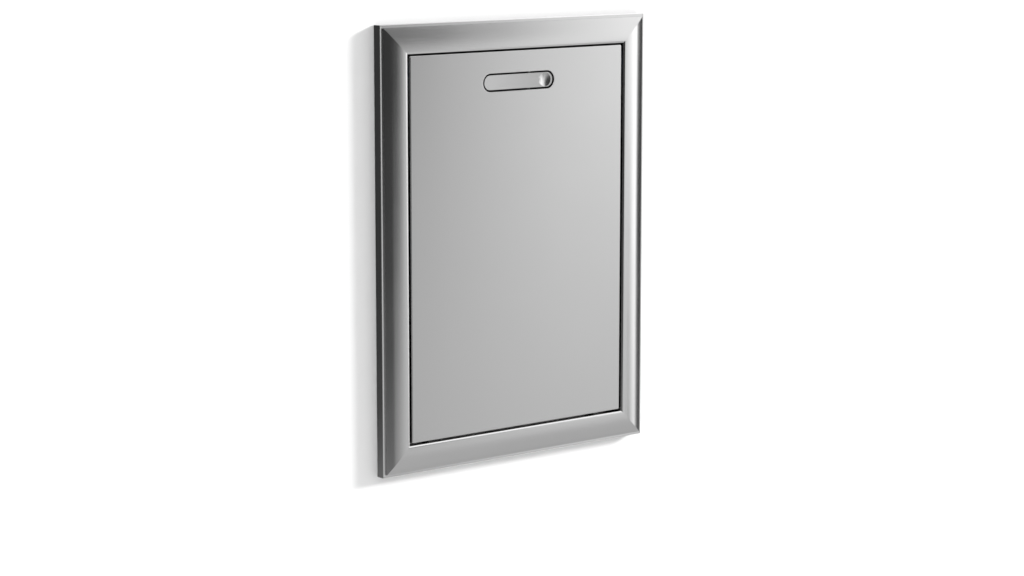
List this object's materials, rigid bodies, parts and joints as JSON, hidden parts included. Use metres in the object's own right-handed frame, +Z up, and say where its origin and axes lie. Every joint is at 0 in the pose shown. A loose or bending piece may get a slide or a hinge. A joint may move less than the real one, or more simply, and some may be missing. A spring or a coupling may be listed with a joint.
{
  "type": "built-in trash and recycling drawer",
  "caption": "Built-in pull-out trash and recycling drawer: mitred stainless trim, flush front with a rocker pull, sheet cabinet, telescoping ball slides and lift-out bins.",
  "frame": {"origin": "on the wall surface, at the middle of the back of the bottom trim flange", "axes": "the front faces -Y and the cabinet runs back along +Y into the wall, +Z is up, +X is to the right as seen from the front"},
  "size_m": [0.514, 0.5829, 0.68],
  "materials": {
    "front_steel": "satin stainless, fine level grain",
    "trim_steel": "satin stainless, grain along each rail",
    "pull_steel": "satin stainless, grain along the lever",
    "cabinet_steel": "mill-finish stainless sheet",
    "drawer_steel": "mill-finish stainless sheet",
    "slide_steel": "clear zinc plate",
    "cage_steel": "zinc plate",
    "bright_steel": "polished",
    "fastener_steel": "plain stainless",
    "black_rubber": "matt",
    "black_plastic": "fine moulded texture",
    "magnet_grey": "dull grey",
    "trash_plastic": "charcoal, fine moulded texture",
    "recycling_plastic": "blue, fine moulded texture"
  },
  "bodies": {
    "cabinet": {"cabinet_back": "cabinet_steel", "cabinet_floor": "cabinet_steel", "cabinet_left_side": "cabinet_steel", "cabinet_right_side": "cabinet_steel", "cabinet_rivets": "fastener_steel", "catch_housing": "black_plastic", "catch_magnet": "magnet_grey", "catch_screws": "fastener_steel", "door_bumpers": "black_rubber", "header_angle": "cabinet_steel", "header_seal": "black_rubber", "sill_angle": "cabinet_steel", "slide_outer_member_left": "slide_steel", "slide_outer_member_right": "slide_steel", "slide_rivets": "fastener_steel", "slide_stops": "black_rubber", "trim_bottom_rail": "trim_steel", "trim_left_stile": "trim_steel", "trim_right_stile": "trim_steel", "trim_top_rail": "trim_steel"},
    "pull": {"pull_lever": "pull_steel", "pull_spring": "bright_steel"},
    "trash_bin": {"trash_bin": "trash_plastic"},
    "recycling_bin": {"recycling_bin": "recycling_plastic"},
    "release_lever_left": {"release_lever_left": "black_plastic"},
    "release_lever_right": {"release_lever_right": "black_plastic"},
    "slide_middles": {"slide_middle_member_left": "slide_steel", "slide_middle_member_right": "slide_steel"},
    "outer_cages": {"outer_ball_cage_left": "cage_steel", "outer_ball_cage_right": "cage_steel", "outer_balls_left": "bright_steel", "outer_balls_right": "bright_steel"},
    "inner_cages": {"inner_ball_cage_left": "cage_steel", "inner_ball_cage_right": "cage_steel", "inner_balls_left": "bright_steel", "inner_balls_right": "bright_steel"},
    "drawer": {"drawer_back": "drawer_steel", "drawer_floor": "drawer_steel", "drawer_front_plate": "drawer_steel", "drawer_left_side": "drawer_steel", "drawer_right_side": "drawer_steel", "drawer_rivets": "fastener_steel", "front_bracket_left": "drawer_steel", "front_bracket_right": "drawer_steel", "front_inner_panel": "drawer_steel", "front_screws": "fastener_steel", "front_skin": "front_steel", "front_stiffener_left": "drawer_steel", "front_stiffener_right": "drawer_steel", "slide_inner_member_left": "slide_steel", "slide_inner_member_right": "slide_steel", "bin_divider": "drawer_steel", "pull_cup": "black_plastic", "pull_pin": "bright_steel", "pull_pin_clips": "bright_steel", "pull_cup_nuts": "fastener_steel", "pull_rest_pad": "black_rubber", "slide_screws": "fastener_steel", "release_pivots": "fastener_steel", "catch_strike": "bright_steel"}
  },
  "joints": [
    {"name": "drawer_slide", "type": "slide", "parent": "cabinet", "child": "drawer", "axis": [0, -1, 0], "range_m": [0, 0.546]},
    {"name": "slide_middle_travel", "type": "slide", "parent": "cabinet", "child": "slide_middles", "axis": [0, -1, 0], "range_m": [0, 0.273]},
    {"name": "outer_cage_travel", "type": "slide", "parent": "cabinet", "child": "outer_cages", "axis": [0, -1, 0], "range_m": [0, 0.1365]},
    {"name": "inner_cage_travel", "type": "slide", "parent": "cabinet", "child": "inner_cages", "axis": [0, -1, 0], "range_m": [0, 0.4095]},
    {"name": "pull_pivot", "type": "hinge", "parent": "drawer", "child": "pull", "pos_m": [0.02665, -0.0113, 0.5739], "axis": [0, 0, 1], "range_deg": [0, 32], "stiffness_Nm_per_rad": 0.2, "springref_deg": -20.05},
    {"name": "trash_bin_lift", "type": "slide", "parent": "drawer", "child": "trash_bin", "axis": [0, 0, 1], "range_m": [0, 0.64]},
    {"name": "recycling_bin_lift", "type": "slide", "parent": "drawer", "child": "recycling_bin", "axis": [0, 0, 1], "range_m": [0, 0.64]},
    {"name": "release_right_pivot", "type": "hinge", "parent": "drawer", "child": "release_lever_right", "pos_m": [0.20228, 0.07, 0.144], "axis": [1, 0, 0], "range_deg": [0, 7], "stiffness_Nm_per_rad": 0.05, "springref_deg": -11.46},
    {"name": "release_left_pivot", "type": "hinge", "parent": "drawer", "child": "release_lever_left", "pos_m": [-0.20228, 0.07, 0.144], "axis": [1, 0, 0], "range_deg": [-7, 0], "stiffness_Nm_per_rad": 0.05, "springref_deg": 11.46}
  ],
  "couplings": [
    {"joint": "slide_middle_travel", "follows": "drawer_slide", "ratio": 0.5},
    {"joint": "outer_cage_travel", "follows": "drawer_slide", "ratio": 0.25},
    {"joint": "inner_cage_travel", "follows": "drawer_slide", "ratio": 0.75}
  ]
}
